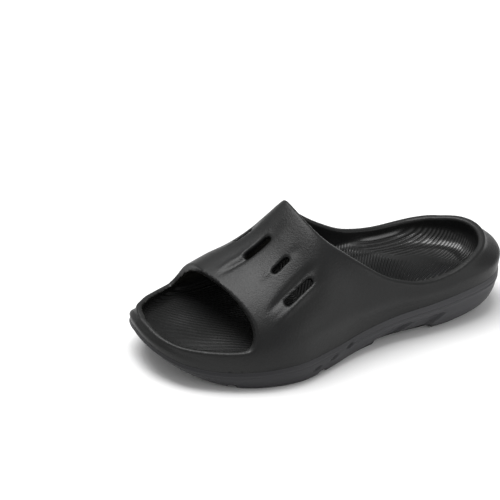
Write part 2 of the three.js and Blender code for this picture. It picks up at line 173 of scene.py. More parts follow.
# Ridge of the strap: side, height in shares of INSTEP_HEIGHT, how square the arch is on each side
CREST = table(
    "along side high roundL roundM",
    (0, 0, 1.132, 2.2, 2.2),
    (0.3, -0.034, 1.113, 2.2, 2.2),
    (0.433, -0.119, 1.057, 2.1, 2.2),
    (0.52, -0.169, 1.014, 1.85, 2.15),
    (0.573, -0.178, 0.976, 1.78, 2.1),
    (0.617, -0.169, 0.877, 1.78, 2.1),
    (0.653, -0.161, 0.791, 1.85, 2.1),
    (0.687, -0.153, 0.725, 1.92, 2.15),
    (0.72, -0.144, 0.674, 2, 2.25),
    (0.757, -0.136, 0.636, 2.05, 2.35),
    (0.8, -0.119, 0.594, 2.1, 2.4),
    (0.847, -0.102, 0.557, 2.4, 2.4),
    (1, -0.085, 0.528, 3, 2.6),
)

# Height of the seam between upper and sole on each side
SEAM = table(
    "along outer inner",
    (0, 0.565, 0.565),
    (0.083, 0.532, 0.573),
    (0.167, 0.492, 0.556),
    (0.26, 0.435, 0.54),
    (0.347, 0.395, 0.532),
    (0.433, 0.347, 0.508),
    (0.517, 0.303, 0.46),
    (0.6, 0.29, 0.387),
    (0.683, 0.282, 0.319),
    (0.767, 0.263, 0.281),
    (0.85, 0.256, 0.268),
    (0.91, 0.284, 0.294),
    (0.957, 0.335, 0.348),
    (0.987, 0.397, 0.406),
    (1, 0.445, 0.445),
)

# Footbed: height in the middle and at the edge, rise and reach of the cup
BED = table(
    "along middle edge rise reach",
    (0, 0.565, 0.597, 0.226, 0.127),
    (0.133, 0.548, 0.589, 0.21, 0.119),
    (0.267, 0.54, 0.597, 0.177, 0.11),
    (0.4, 0.548, 0.613, 0.161, 0.093),
    (0.517, 0.5, 0.548, 0.145, 0.085),
    (0.633, 0.419, 0.444, 0.129, 0.076),
    (0.75, 0.371, 0.387, 0.113, 0.068),
    (0.883, 0.379, 0.395, 0.097, 0.059),
    (1, 0.419, 0.435, 0.081, 0.051),
)

# Lift of the tread off the floor, and the deck that the upper stands on
TREAD = table(
    "along lift deck",
    (0, 0.21, 0.387),
    (0.023, 0.113, 0.355),
    (0.053, 0.035, 0.339),
    (0.093, 0, 0.323),
    (0.133, 0, 0.323),
    (0.3, 0, 0.323),
    (0.433, 0, 0.315),
    (0.533, 0, 0.282),
    (0.65, 0, 0.226),
    (0.773, 0, 0.203),
    (0.817, 0.005, 0.203),
    (0.86, 0.032, 0.206),
    (0.9, 0.084, 0.226),
    (0.94, 0.165, 0.266),
    (0.973, 0.261, 0.315),
    (1, 0.371, 0.371),
)

# Wall of the sole in section, from the seam down: swell and tuck
SIDE = table(
    "down out tuck",
    (0, 0, 0),
    (0.30, 0, 0.025),
    (0.42, 0.2, 0.06),
    (0.56, 0.3, 0.16),
    (0.76, 0.2, 0.42),
    (0.92, 0, 0.78),
    (1, -0.6, 1),
    measure=plain,
)

# Opening at the toe in side view, from in front of the rim over the footbed to the strap's edge
TOE_CUT = table(
    "side frontX frontZ tipX tipZ rimX rimZ footX footZ lipX lipZ browX browZ edgeX edgeZ skyX skyZ",
    (-0.542, 1.087, 0.600, 0.967, 0.595, 0.87, 0.550, 0.847, 0.575,
      0.832, 0.661, 0.825, 0.79, 0.82, 1, 0.82, 2.258),
    (-0.381, 1.087, 0.610, 0.967, 0.600, 0.87, 0.550, 0.847, 0.575,
      0.83, 0.661, 0.822, 0.806, 0.817, 1, 0.82, 2.258),
    (-0.169, 1.087, 0.600, 0.977, 0.585, 0.873, 0.524, 0.833, 0.597,
      0.815, 0.742, 0.81, 0.903, 0.82, 1.016, 0.933, 2.258),
    (0, 1.087, 0.590, 0.977, 0.565, 0.86, 0.524, 0.813, 0.613,
      0.793, 0.774, 0.795, 0.919, 0.807, 1.032, 0.933, 2.258),
    (0.169, 1.087, 0.548, 0.96, 0.516, 0.847, 0.503, 0.8, 0.565,
      0.78, 0.71, 0.78, 0.855, 0.787, 0.952, 0.893, 2.258),
    (0.356, 1.087, 0.503, 0.873, 0.503, 0.813, 0.506, 0.79, 0.532,
      0.777, 0.613, 0.77, 0.742, 0.772, 0.887, 0.8, 2.258),
    (0.576, 1.087, 0.503, 0.873, 0.503, 0.813, 0.506, 0.79, 0.532,
      0.777, 0.613, 0.77, 0.742, 0.772, 0.887, 0.8, 2.258),
    measure=plain,
)

# Opening at the heel in side view: height of the rim on each side
HEEL_CUT = table(
    "along outer inner",
    (-0.087, 1.008, 1.008),
    (0.047, 0.992, 0.992),
    (0.133, 0.879, 0.911),
    (0.217, 0.782, 0.844),
    (0.28, 0.758, 0.832),
    (0.35, 0.839, 0.887),
    (0.4, 0.952, 0.96),
    (0.453, 1.129, 1.097),
    (0.5, 1.29, 1.242),
    (0.537, 1.419, 1.387),
    (0.562, 1.548, 1.54),
    (0.582, 1.702, 1.702),
    (0.607, 1.903, 1.903),
    (0.66, 2.355, 2.355),
)

# Slots through the strap: front end, its side, back end, its side, width in shares of SLOT
SLOTS = (
    (0.715, -0.064, 0.645, -0.072, 0.721),
    (0.704, -0.267, 0.658, -0.258, 0.581),
    (0.681, 0.154, 0.635, 0.132, 0.581),
    (0.683, 0.354, 0.602, 0.303, 0.66),
    (0.689, -0.398, 0.606, -0.378, 0.66),
)

# Scoops in the sole's side: along, height, length, rise, depth, turn in degrees, side
SCOOPS = (
    (0.285, 0.230, 0.140, 0.100, 1, 6, 1),
    (0.385, 0.190, 0.150, 0.100, 1, 8, 1),
    (0.4, 0.274, 0.130, 0.11, 1, 12, -1),
    (0.3, 0.323, 0.130, 0.11, 1, 8, -1),
    (0.513, 0.242, 0.025, 0.035, 0.467, 24, 1),
    (0.565, 0.185, 0.025, 0.035, 0.467, 24, 1),
    (0.618, 0.140, 0.025, 0.035, 0.467, 20, 1),
    (0.55, 0.287, 0.025, 0.035, 0.467, 20, -1),
    (0.59, 0.216, 0.025, 0.035, 0.467, 20, -1),
    (0.633, 0.161, 0.025, 0.035, 0.467, 16, -1),
    (0.707, 0.113, 0.025, 0.035, 0.467, 10, -1),
)

# Breaks across the tread: corners in side view, along and height in shares of BREAK
BREAKS = (
    ((0.82, -2), (0.826, 1.2), (0.838, 1.2), (0.844, -2)),
    ((0.585, -2), (0.59, 0.6), (0.604, 0.6), (0.608, -2)),
    ((0.24, -2), (0.252, 1), (0.41, 1), (0.424, -2)),
    ((0.14, -2), (0.146, 0.7), (0.156, 0.7), (0.162, -2)),
)


# Columns round the outline: up the outer side from heel to toe, back on the inner side

# Stretches of the length that hold the hub, the ridge, and the middle lines of deck and bed
HUB = (0.25, 0.8)
RIDGE = (0.3, 0.84)
DECK_LINE = (0.2, 0.85)
BED_LINE = (0.17, 0.86)

# Share of the flare that is left at the toe, and where it eases off to it
TOE_FLARE = 0.65
TOE_FLARE_SPAN = (0.88, 0.08)

# Band over the seam in which the skin flares out, at heel and toe, and the flare's start and run
BAND = (0.42, 0.16)
FLARE_RISE = (0.4, 0.45)

# Share of the undercut at the seam, and the share of the band over it where it has gone
UNDERCUT = 0.6
UNDER_RISE = 0.5

# Thickness of the strap under the ridge, in shares of STRAP
CROWN = 1.15


class Columns:
    """The outline's places, its way in to the hub of the foot, and the named sizes there."""

    def __init__(self, count):
        k = np.arange(count)
        half = count // 2
        self.outer = k <= half
        self.along = (1 - np.cos(math.pi * np.where(self.outer, k, count - k) / half)) / 2
        side = self.pick(PLAN, "lateral", "medial") * BALL_WIDTH
        self.at = np.stack([place_of(self.along), side], 1)
        run = np.roll(self.at, -1, 0) - np.roll(self.at, 1, 0)
        run /= np.linalg.norm(run, axis=1)[:, None]
        inward = np.stack([run[:, 1], -run[:, 0]], 1)
        hub = np.clip(self.along, *HUB)
        middle = (PLAN["lateral"](hub) + PLAN["medial"](hub)) / 2 * BALL_WIDTH
        to = np.stack([place_of(hub), middle], 1) - self.at
        self.way = to / (to * inward).sum(1)[:, None]
        self.seam = HEEL_HEIGHT * self.pick(SEAM, "outer", "inner")
        self.flare = BALL_WIDTH * self.pick(PLAN, "flareL", "flareM")
        self.flare *= mix(1, TOE_FLARE, over(self.along, *TOE_FLARE_SPAN))
        under = BALL_WIDTH * self.pick(PLAN, "underL", "underM")
        self.under = UNDERCUT * under
        self.tuck = BALL_WIDTH * self.pick(PLAN, "tuckL", "tuckM") + under
        self.band = HEEL_HEIGHT * mix(*BAND, ease(self.along))
        self.wall = WALL * PLAN["wall"](self.along)
        self.round = self.pick(CREST, "roundL", "roundM")
        self.edge = HEEL_HEIGHT * BED["edge"](self.along)
        self.rise = HEEL_HEIGHT * BED["rise"](self.along)
        self.reach = BALL_WIDTH * BED["reach"](self.along)

    def pick(self, book, outer, inner):
        """One of two columns of a table at each place, by side."""
        return np.where(self.outer, book[outer](self.along), book[inner](self.along))

    def inset(self, distance, z):
        """Ring at a distance inside the outline."""
        flat = self.at + self.way * np.broadcast_to(distance, self.along.shape)[:, None]
        return np.column_stack([flat, np.broadcast_to(z, self.along.shape)])

    def ridge(self, drop=0.0):
        """Ridge of the strap, or a line that far below it."""
        held = np.clip(self.along, *RIDGE)
        high = INSTEP_HEIGHT * CREST["high"](self.along) - drop
        return np.column_stack([place_of(held), BALL_WIDTH * CREST["side"](held), high])

    def spine(self, span, height):
        """Middle line over a stretch of the length."""
        held = np.clip(self.along, *span)
        side = (PLAN["lateral"](held) + PLAN["medial"](held)) / 2 * BALL_WIDTH
        return np.column_stack([place_of(held), side, height(held)])

    def arch(self, foot, top, angle, z):
        """Ring on the quarter arch from foot to top."""
        wide = np.maximum(np.cos(angle), 0) ** (2 / self.round)
        ring = mix(top, foot, wide[:, None])
        ring[:, 2] = z
        return ring

    def skin(self, t):
        """Outer skin, from 0 at the seam to 1 on the ridge."""
        top = self.ridge()
        angle = np.full(self.along.shape, math.pi / 2 * t)
        z = mix(self.seam, top[:, 2], np.sin(angle) ** (2 / self.round))
        rise = (z - self.seam) / self.band
        lean = self.flare * over(rise, *FLARE_RISE) + self.under * (1 - ease(rise / UNDER_RISE))
        return self.arch(self.inset(lean, z), top, angle, z)

    def lining(self, t, reach=0.0, height=None):
        """Hollow for the foot, from 0 at the top of the cup to 1 under the ridge."""
        top = self.ridge(STRAP * CROWN)
        share = (self.edge + self.rise - self.seam) / (top[:, 2] - self.seam)
        first = np.arcsin(np.clip(share, 0.02, 0.9) ** (self.round / 2))
        angle = mix(first, math.pi / 2, t)
        z = mix(self.seam, top[:, 2], np.sin(angle) ** (2 / self.round))
        z = z if height is None else height
        return self.arch(self.inset(self.flare + self.wall + reach, z), top, angle, z)

    def cup(self, b):
        """Cup of the footbed, from 0 at its top to 1 where the bed begins."""
        angle = math.pi / 2 * b
        reach = self.reach * (1 - math.cos(angle))
        return self.lining(0, reach, self.edge + self.rise * (1 - math.sin(angle)))

    def bed(self, s):
        """Footbed inside the cup, from 0 on the middle line to 1 at the cup."""
        middle = self.spine(BED_LINE, lambda along: HEEL_HEIGHT * BED["middle"](along))
        edge = self.cup(1)
        ring = mix(middle, edge, s)
        ring[:, 2] = mix(middle[:, 2], edge[:, 2], s * s)
        return ring

    def socket(self, distance, drop):
        """Edge of the deck between sole and upper."""
        ring = self.inset(distance + self.under, 0)
        ring[:, 2] = HEEL_HEIGHT * TREAD["deck"](along_of(ring[:, 0])) - drop
        return ring


# Mesh making


def piece(name, bm):
    mesh = bpy.data.meshes.new(name)
    bm.to_mesh(mesh)
    bm.free()
    made = bpy.data.objects.new(name, mesh)
    bpy.context.scene.collection.objects.link(made)
    return made


def loft(name, rings, capped=False):
    """Closed form through rings of as many points each."""
    rings = np.array(rings)
    rows, count = rings.shape[:2]
    bm = bmesh.new()
    bmesh.ops.create_grid(bm, x_segments=count, y_segments=rows - 1, size=1)
    points = np.concatenate([rings, rings[:, :1]], 1).reshape(-1, 3)
    order = sorted(bm.verts, key=lambda v: (round(v.co.y, 5), round(v.co.x, 5)))
    for vert, point in zip(order, points):
        vert.co = point
    bmesh.ops.remove_doubles(bm, verts=bm.verts, dist=1e-6)
    if capped:
        bmesh.ops.holes_fill(bm, edges=bm.edges, sides=0)
    bmesh.ops.recalc_face_normals(bm, faces=bm.faces)
    return piece(name, bm)


def settled(made):
    """Bakes an object's modifiers into its mesh."""
    shown = made.evaluated_get(bpy.context.evaluated_depsgraph_get())
    mesh = bpy.data.meshes.new_from_object(shown)
    made.modifiers.clear()
    made.data = mesh
    return made


def cut(made, tools):
    """Cuts forms out of another, and deletes them."""
    for tool in tools:
        step = made.modifiers.new("cut", "BOOLEAN")
        step.operation = "DIFFERENCE"
        step.solver = "MANIFOLD"
        step.object = tool
    settled(made)
    for tool in tools:
        bpy.data.objects.remove(tool)
    return made


def remeshed(made, voxel):
    step = made.modifiers.new("remesh", "REMESH")
    step.mode = "VOXEL"
    step.voxel_size = voxel
    return settled(made)


def relaxed(made, rounds):
    step = made.modifiers.new("relax", "SMOOTH")
    step.factor = 0.5
    step.iterations = rounds
    return settled(made)


def points_of(made):
    flat = np.empty(len(made.data.vertices) * 3)
    made.data.vertices.foreach_get("co", flat)
    return flat.reshape(-1, 3)


def set_points(made, points):
    made.data.vertices.foreach_set("co", points.ravel())
    made.data.update()


def mark(made, name, values):
    """Keeps one number for each point, for the material to read."""
    layer = made.data.attributes.new(name, "FLOAT", "POINT")
    layer.data.foreach_set("value", np.ascontiguousarray(values, dtype=np.float32))


# Rounded edges

# How far a skin is felt, the furthest that a point goes in one step, the rounds and their steps
REACH = 0.006
PULL = 0.0006
ROUNDS = 3
STEPS = 5


class Skin:
    """One form's skin, as a signed distance that is above 0 in the air round the shoe."""

    def __init__(self, made, sign, soft):
        self.tree = BVHTree.FromObject(made, bpy.context.evaluated_depsgraph_get())
        corners = points_of(made)
        self.low = corners.min(0) - REACH
        self.high = corners.max(0) + REACH
        self.sign = sign
        self.soft = soft

    def read(self, points):
        """Level and way out at each point, with an even level where the skin is far."""
        level = np.full(len(points), -REACH)
        way = np.tile((0.0, 0.0, 1.0), (len(points), 1))
        near = ((points > self.low) & (points < self.high)).all(1)
        for k in np.flatnonzero(near):
            spot, normal, _, _ = self.tree.find_nearest(points[k], REACH)
            if spot is not None:
                way[k] = normal
                level[k] = (points[k] - spot) @ way[k] * self.sign
        return level, way * self.sign


def joined(skins, reads, moved):
    """Level and way out of all the skins together, their edges rounded, and each one's share."""
    level, way = reads[0]
    level = level + (way * moved).sum(1)
    shares = [np.ones(len(level))]
    for skin, (other, heading) in zip(skins[1:], reads[1:]):
        other = other + (heading * moved).sum(1)
        part = np.clip(0.5 + (other - level) / (2 * skin.soft), 0, 1)
        level = mix(level, other, part) + skin.soft * part * (1 - part)
        way = mix(way, heading, part[:, None])
        shares = [share * (1 - part) for share in shares] + [part]
    return level, way, shares


def fitted(made, skins):
    """Brings a mesh's points onto the rounded skins and tells which one each lies on."""
    for turned in range(ROUNDS):
        points = points_of(made)
        reads = [skin.read(points) for skin in skins]
        moved = np.zeros_like(points)
        for _ in range(STEPS):
            level, way, shares = joined(skins, reads, moved)
            size = np.maximum((way * way).sum(1), 0.25)
            moved -= np.clip(level / size, -PULL, PULL)[:, None] * way
        set_points(made, points + moved)
        if turned < ROUNDS - 1:
            relaxed(made, 2)
    return shares


def snapped(made, ring, reach):
    """Puts the points close to a ring onto it, so that the edge there stays crisp."""
    points = points_of(made)
    run = np.roll(ring, -1, 0) - ring
    above = (points > ring.min(0) - reach).all(1)
    below = (points < ring.max(0) + reach).all(1)
    for k in np.flatnonzero(above & below):
        share = ((points[k] - ring) * run).sum(1) / (run * run).sum(1)
        spots = ring + np.clip(share, 0, 1)[:, None] * run
        gap = ((points[k] - spots) ** 2).sum(1)
        best = gap.argmin()
        if gap[best] < reach * reach:
            points[k] = spots[best]
    set_points(made, points)


# Openings of the upper

# Half widths of the forms that open the toe and the heel, and how high all of them reach
TOE_HALF = 0.58
HEEL_HALF = 0.7
SKY = 3 * HEEL_HEIGHT

# The heel's rim goes from its inner to its outer height across this much on each side
HEEL_BLEND = 0.2

# Rows and points of the two forms, and the stretch of the length that the heel's covers
TOE_ROWS = 60
TOE_POINTS = 84
HEEL_ROWS = 17
HEEL_POINTS = 160
HEEL_STRETCH = (-0.08, 0.66)

# How far a slot's form reaches through the strap each way, in shares of STRAP
SLOT_REACH = 2.6


def toe_cut():
    names = ("front", "tip", "rim", "foot", "lip", "brow", "edge")
    order = np.arange(len(names))
    steps = np.linspace(0, order[-1], TOE_POINTS)
    rings = []
    for side in np.linspace(-TOE_HALF, TOE_HALF, TOE_ROWS):
        x = curve(order, [TOE_CUT[name + "X"](side) for name in names])(steps)
        z = curve(order, [TOE_CUT[name + "Z"](side) for name in names])(steps)
        y = np.full_like(x, side * BALL_WIDTH)
        line = np.stack([place_of(x), y, z * HEEL_HEIGHT], 1)
        sky = (place_of(TOE_CUT["skyX"](side)), side * BALL_WIDTH, TOE_CUT["skyZ"](side) * HEEL_HEIGHT)
        corner = (LENGTH, side * BALL_WIDTH, SKY)
        rings.append(np.concatenate([[corner], line, [sky]]))
    return loft("toe_cut", rings, capped=True)


def heel_cut():
    along = np.linspace(*HEEL_STRETCH, HEEL_POINTS)
    rings = []
    for side in (-HEEL_HALF, *np.linspace(-HEEL_BLEND, HEEL_BLEND, HEEL_ROWS), HEEL_HALF):
        outward = over(side, -HEEL_BLEND, 2 * HEEL_BLEND)
        high = mix(HEEL_CUT["inner"](along), HEEL_CUT["outer"](along), outward)
        y = np.full_like(along, side * BALL_WIDTH)
        line = np.stack([place_of(along), y, high * HEEL_HEIGHT], 1)
        corner = np.array([[-LENGTH, side * BALL_WIDTH, SKY]])
        rings.append(np.concatenate([corner, line]))
    return loft("heel_cut", rings, capped=True)


def roof(x, y):
    """Height of the outer skin over a point of the strap."""
    along = along_of(x)
    side = CREST["side"](along) * BALL_WIDTH
    high = INSTEP_HEIGHT * CREST["high"](along)
    outer = y > side
    foot = PLAN["lateral" if outer else "medial"](along) * BALL_WIDTH
    square = CREST["roundL" if outer else "roundM"](along)
    seam = SEAM["outer" if outer else "inner"](along) * HEEL_HEIGHT
    wide = np.clip((y - side) / (foot - side), 0, 1)
    return float(mix(seam, high, (1 - wide**square) ** (1 / square)))


def slot_frame(front, front_side, back, back_side, width):
    """Middle, half length, half width and the three directions of a slot."""
    flat = [(place_of(front), front_side * BALL_WIDTH), (place_of(back), back_side * BALL_WIDTH)]
    ends = [Vector((x, y, roof(x, y))) for x, y in flat]
    middle = (ends[0] + ends[1]) / 2
    middle.z = roof(middle.x, middle.y)
    length = ends[0] - ends[1]
    half = length.length / 2
    length.normalize()
    near = 0.002
    across = Vector((0, 2 * near, roof(middle.x, middle.y + near) - roof(middle.x, middle.y - near)))
    out = length.cross(across).normalized()
    return middle, half, width * SLOT / 2, length, out.cross(length), out


def slot_cut(row):
    middle, half, thin, length, side, out = slot_frame(*row)
    outline = []
    for end in (1, -1):
        for angle in np.linspace(-math.pi / 2, math.pi / 2, 16):
            far = end * (half - thin + thin * math.cos(angle))
            outline.append(middle + length * far + side * (end * thin * math.sin(angle)))
    rings = [[point + out * depth * STRAP for point in outline] for depth in (-SLOT_REACH, SLOT_REACH)]
    return loft("slot", rings, capped=True)


# Ribs of the footbed

# Spacing of the ribs, the place under the strap where they turn, and how softly two runs part
RIB = 0.0026
RIB_TURN = 0.020
PARTED = (0.001, 0.004)

# Where the ribs that slant over the waist part from those along the cup: place and side in metres
PARTING = table(
    "place side",
    (-0.128, 0.050),
    (-0.114, 0.014),
    (-0.100, -0.002),
    (-0.075, -0.013),
    (-0.049, -0.028),
    (-0.030, -0.036),
    (0.020, -0.052),
    measure=plain,
)
PARTING_SLOPE = 0.8

# Ribs along the cup: fan at the heel, drift and closing at the toe, each from a place over a run
HEEL_FAN = 0.020
HEEL_FAN_SPAN = (-0.145, 0.050)
TOE_DRIFT = 0.012
TOE_DRIFT_SPAN = (0.020, 0.120)
TOE_CLOSE = 0.6
TOE_CLOSE_SPAN = (0.050, 0.110)

# Slanted ribs: slope sideways, along, and more along past a bend from a place over a run
SLANT = (0.68, 0.48, 0.52)
BEND_SPAN = (-0.090, 0.045)

# Patches of the bed where the ribs are nearly flat: place, side, length, width, strength
CALM = (
    (-0.095, -0.004, 0.024, 0.017, 1),
    (0.108, 0.002, 0.034, 0.032, 1.05),
)
CALMED = 0.85

# Starts and runs in height over the bed: end of the ribs, foot and top of the cup, and the painted
# light on the lining
RIB_TOP = (0.007, 0.007)
CUP_FOOT = (0.0005, 0.0035)
CUP_TOP = (0.010, 0.008)
PAINTED_LIFT_FOOT = (0.006, 0.010)

# Where along the foot the cup ends and the painted light on the lining under the strap starts
CUP_END = 0.020
PAINTED_LIFT_SPAN = (-0.010, 0.020)


def ribs_along(x, y):
    """Way across the ribs that run along the cup."""
    start, run = HEEL_FAN_SPAN
    fan = HEEL_FAN * (1 - np.clip((x - start) / run, 0, 1)) ** 2
    drift = TOE_DRIFT * over(x, *TOE_DRIFT_SPAN)
    return (y + fan + drift) / mix(1.0, TOE_CLOSE, over(x, *TOE_CLOSE_SPAN))


def ribs_slanted(x, y):
    """Way across the ribs that slant over the waist and bend as they go forward."""
    start, run = BEND_SPAN
    slow = np.clip((x - start) / run, 0, 1)
    bend = run * (slow**3 - slow**4 / 2) + np.maximum(0, x - start - run)
    sideways, along, past = SLANT
    return sideways * y - along * x - past * bend


def ribbed(made, shares):
    """Counts the footbed's ribs across the bed and marks their depth, the inside, the cup, and the
    painted light under the strap.
    """
    x, y, z = points_of(made).T
    apart = (y - PARTING["side"](x)) * PARTING_SLOPE
    waist = (apart > 0) & (x < RIB_TURN)
    count = np.where(waist, ribs_slanted(x, y), ribs_along(x, y)) / RIB
    parted = np.where(x > RIB_TURN, 1, over(abs(apart), *PARTED))
    turned = np.where(apart > 0, over(abs(x - RIB_TURN), *PARTED), 1)
    calm = 0
    for place, side, long, wide, strength in CALM:
        calm = np.maximum(calm, strength * bell((x - place) / long) * bell((y - side) / wide))
    high = z - HEEL_HEIGHT * BED["middle"](along_of(x))
    depth = shares[1] * (1 - over(high, *RIB_TOP)) * (1 - CALMED * np.minimum(calm, 1))
    cup = over(high, *CUP_FOOT) * (1 - over(high, *CUP_TOP)) * ease(-x / CUP_END)
    # Painted light: the walls and roof of the hollow under the strap get a paler colour, standing in
    # for light that reaches in there.
    painted_lift = over(high, *PAINTED_LIFT_FOOT) * over(x, *PAINTED_LIFT_SPAN)
    mark(made, "rib_count", count)
    mark(made, "rib_depth", depth * parted * turned)
    mark(made, "inside", shares[1])
    mark(made, "cup", shares[1] * cup)
    mark(made, "painted_lift", shares[1] * painted_lift)


# Folds of the strap and the flank

# Ridges and troughs beside each slot: start and end past its ends, place across, width, height
STROKES = (
    (
        (0.026, -0.005, -0.0028, 0.0024, 0.0008),
        (0.026, -0.004, 0.0024, 0.0020, -0.0013),
        (-0.018, 0.004, 0.0000, 0.0050, -0.0008),
    ),
    (
        (0.012, -0.003, 0.0016, 0.0018, 0.0005),
        (-0.012, 0.003, 0.0000, 0.0035, -0.0005),
    ),
    (
        (0.014, -0.003, -0.0016, 0.0018, 0.0006),
        (-0.014, 0.003, 0.0000, 0.0035, -0.0006),
    ),
    (
        (0.020, -0.010, 0.0050, 0.0026, 0.0012),
        (0.018, -0.008, -0.0046, 0.0026, -0.0012),
        (-0.014, 0.012, -0.0062, 0.0034, -0.0014),
    ),
    (
        (0.020, -0.010, -0.0050, 0.0026, 0.0012),
        (0.018, -0.008, 0.0046, 0.0026, -0.0012),
        (-0.014, 0.012, 0.0062, 0.0034, -0.0014),
    ),
)

# Shares of a stroke over which it fades in and out, and how deep in the strap it is felt
STROKE_START = 0.3
STROKE_END = 0.5
STROKE_DEEP = 0.02

# Soft ridge along the outer flank, over the seam: height of its crest, size
FLANK = table(
    "along high size",
    (0.18, 0.14, 0),
    (0.28, 0.18, 0.6),
    (0.42, 0.27, 1),
    (0.60, 0.38, 1.1),
    (0.74, 0.40, 0.7),
    (0.86, 0.34, 0),
    measure=plain,
)
FLANK_SWELL = 0.0016

# Width of that ridge, place and width of the trough under it, in shares of the crest's height
CREST_WIDTH = 0.6
TROUGH = 0.38
TROUGH_WIDTH = 0.45
FLANK_START = 0.002


def stroke(slot, points, first, last, across, width, height):
    """Soft ridge or trough beside a slot: from first to last along it, at a place across it."""
    middle, _, _, *ways = slot
    along, sideways, outward = ((points - np.array(middle)) @ np.array(way) for way in ways)
    span = (along - first) / (last - first)
    fade = ease(span / STROKE_START) * ease((1 - span) / STROKE_END) * (span > 0) * (span < 1)
    return height * fade * bell((sideways - across) / width) * (abs(outward) < STROKE_DEEP)


def flank_swell(points):
    """Ridge and trough along the outer flank."""
    along = along_of(points[:, 0])
    high = points[:, 2] - HEEL_HEIGHT * SEAM["outer"](along)
    crest = HEEL_HEIGHT * FLANK["high"](along)
    ridge = bell((high - crest) / (CREST_WIDTH * crest))
    trough = bell((high - TROUGH * crest) / (TROUGH_WIDTH * crest))
    size = FLANK_SWELL * FLANK["size"](along) * ease(high / FLANK_START)
    return size * (ridge - trough) * (points[:, 1] > 0)


def folded(made, shares):
    """Ridges, troughs and creases of the outer skin."""
    points = points_of(made)
    moved = points.copy()
    moved[:, 1] += flank_swell(points) * shares[0]
    skin = 1 - shares[1] - shares[2]
    for row, strokes in zip(SLOTS, STROKES):
        slot = slot_frame(*row)
        half, out = slot[1], slot[-1]
        for first, last, across, width, height in strokes:
            ends = (first + np.sign(first) * half, last + np.sign(last) * half)
            lifted = stroke(slot, points, *ends, across, width, height) * skin
            moved += lifted[:, None] * np.array(out)
    set_points(made, moved)


# Upper

# How softly each cut's edge is rounded: the hollow, the toe, the heel, and each slot
SOFTENED = (0.0016, 0.0013, 0.0024, 0.0015, 0.0013, 0.0013, 0.0015, 0.0015)

# Points this close to the seam are put onto it, and the skin's rings close up toward it
SEAM_REACH = 0.0013
SKIN_CLOSING = 1.3


def make_upper():
    c = Columns(UPPER_COLUMNS)
    deck = c.spine(DECK_LINE, lambda along: HEEL_HEIGHT * TREAD["deck"](along))
    body = [deck, c.socket(LEDGE + STEP, 0), c.inset(LEDGE + c.under, c.seam)]
    body += [c.skin(t**SKIN_CLOSING) for t in np.linspace(0, 1, SKIN_RINGS)]
    hollow = [c.bed(s) for s in np.linspace(0, 1, BED_RINGS)[:-1]]
    hollow += [c.cup(b) for b in np.linspace(1, 0, CUP_RINGS)[:-1]]
    hollow += [c.lining(t) for t in np.linspace(0, 1, LINING_RINGS)]
    upper = loft("upper_skin", body)
    tools = [loft("hollow", hollow), toe_cut(), heel_cut(), *map(slot_cut, SLOTS)]
    bpy.context.view_layer.update()
    skins = [Skin(upper, 1, 0)]
    skins += [Skin(tool, -1, soft) for tool, soft in zip(tools, SOFTENED)]
    cut(upper, tools)
    remeshed(upper, VOXEL)
    relaxed(upper, 3)
    shares = fitted(upper, skins)
    snapped(upper, c.skin(0), SEAM_REACH)
    ribbed(upper, shares)
    folded(upper, shares)
    return upper


# Sole

# Bead under the seam: width at toe and heel, where the heel's form fades out, share at the back
BEAD_WIDTH = (0.0030, 0.0042)
HEEL_BEAD_SPAN = (0.40, 0.25)
BACK_BEAD = 0.5
BACK_BEAD_RUN = 0.08

# Under it the wall comes back over a run, with a groove and a second bead: place and width
BEAD_RUNOUT = 0.008
GROOVE = (0.0007, 0.0008)
SECOND_BEAD = (0.0024, 0.0011)

# Full depth of a scoop in shares of SCOOP, and the length past which one is a leaf, not a notch
SCOOP_FULL = 1.3
LEAF_LENGTH = 0.05

# Form of a leaf: slant of its back end, height, softness under its edge, run at the back, fill
LEAF_SLANT = 0.12
LEAF_HEIGHT = 1.5
LEAF_SOFT = 0.45
LEAF_BACK = 0.06
LEAF_FILL = 0.75

# Lip under the seam, where down the wall the breaks start and the scoops end, the tread's rings
SEAM_LIP = 0.0006
BREAK_FOOT = (0.7, 0.3)
SCOOP_FOOT = 1.02
SCOOP_FADE = 0.05
TREAD_RINGS = (0.004, 0.02, 0.05, 0.1, 0.16, 0.22)


def side_in(under, tuck, down):
    """Way in of the wall at a share of its height, from the seam down."""
    return mix(under, tuck, SIDE["tuck"](down)) - BEAD * SIDE["out"](down)


def lift(x):
    """Height of the tread's underside over the floor."""
    return np.maximum(0, HEEL_HEIGHT * TREAD["lift"](along_of(x)))


def break_height(along):
    """How far the tread is cut away upward by the breaks across it."""
    high = np.zeros_like(along)
    for (a, _), (b, top), (c, _), (d, _) in BREAKS:
        there = over(along, a, b - a) * ease((d - along) / (d - c))
        high = np.maximum(high, top * BREAK * there)
    return high


def bead(down, along):
    """Outward swell of the wall under the seam: a wide bead, a groove and a fainter second bead."""
    back = 1 - over(along, *HEEL_BEAD_SPAN)
    wide = mix(*BEAD_WIDTH, back)
    swell = mix(0.2, 1.5, ease(down / wide)) * (1 - 0.7 * over(down, wide, BEAD_RUNOUT))
    groove, ridge = (bell((down - wide - place) / width) for place, width in (GROOVE, SECOND_BEAD))
    size = BEAD * mix(BACK_BEAD, 1, ease(along / BACK_BEAD_RUN))
    return size * (swell - 0.6 * mix(0.5, 1, back) * groove + 0.4 * back * ridge)


def leaf(a, b):
    """Long scoop, crisp above and behind, that runs out softly in front and below."""
    t = np.clip((a + 1) / 2 - LEAF_SLANT * np.clip(-b, 0, 3), 0, 1)
    down = np.maximum(0, LEAF_HEIGHT * np.sqrt(t) * (1 - t) - b)
    return LEAF_FILL * (1 - np.exp(-down / LEAF_SOFT)) * ease(t / LEAF_BACK) * (1 - t) ** 0.8


def notch(a, b):
    """Small round scoop, longer below."""
    low = np.where(b > 0, b, b * 0.5)
    return np.clip(1 - a * a - low * low, 0, 1) ** 0.4


